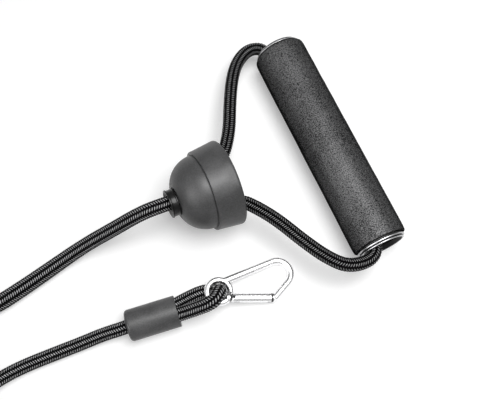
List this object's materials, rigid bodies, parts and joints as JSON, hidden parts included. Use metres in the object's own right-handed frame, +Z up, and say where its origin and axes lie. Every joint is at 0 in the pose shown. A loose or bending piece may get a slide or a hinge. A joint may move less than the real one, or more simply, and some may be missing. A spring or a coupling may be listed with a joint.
{
  "type": "resistance band",
  "caption": "Braided elastic band on a foam grip handle, joined in a bell-shaped cup, with a crimped end loop carrying a spring-gate snap hook.",
  "frame": {"origin": "on the floor under the middle of the handle, cup and hook", "axes": "+Y along the hand grip, -X the way the band leaves the cup, +Z up"},
  "size_m": [0.3438, 0.1545, 0.048],
  "materials": {
    "foam": "soft dark grey foam with a fine grain",
    "cap_plastic": "black, slightly glossy",
    "tube_plastic": "grey stiff tube",
    "braid": "glossy black braided sheath",
    "cup_rubber": "matte mid grey",
    "bush_plastic": "glossy black",
    "sleeve_rubber": "matte dark grey",
    "polished_alloy": "bright polished",
    "steel": "plain",
    "strap": "black strap"
  },
  "bodies": {
    "band": {"cup_dome": "cup_rubber", "cup_cover": "cup_rubber", "nose_bush": "bush_plastic", "band_washer": "steel", "band_end_ferrule": "polished_alloy", "handle_end_ferrule_upper": "polished_alloy", "handle_end_ferrule_lower": "polished_alloy", "handle_washers": "steel", "handle_cord": "braid", "band_cord_upper": "braid", "band_coil": "braid", "coil_tie": "strap", "band_cord_lower": "braid", "crimp_sleeve": "sleeve_rubber"},
    "grip": {"foam_grip": "foam", "grip_tube": "tube_plastic", "end_cap_upper": "cap_plastic", "end_cap_lower": "cap_plastic"},
    "hook": {"carabiner_body": "polished_alloy", "gate_pin": "steel"},
    "gate": {"carabiner_gate": "polished_alloy", "gate_plunger": "steel", "gate_spring": "steel"}
  },
  "joints": [
    {"name": "grip_turn", "type": "hinge", "parent": "band", "child": "grip", "pos_m": [0.041, 0, 0.0155], "axis": [0, 1, 0], "continuous": true},
    {"name": "hook_swing", "type": "hinge", "parent": "band", "child": "hook", "pos_m": [-0.049, -0.0503, 0.00915], "axis": [0.1719, 0, 0.9851], "range_deg": [-25, 25]},
    {"name": "gate_swing", "type": "hinge", "parent": "hook", "child": "gate", "pos_m": [-0.04309, -0.0567, 0.00812], "axis": [0.1719, 0, 0.9851], "range_deg": [0, 20], "stiffness_Nm_per_rad": 0.03, "springref_deg": -34.38}
  ]
}
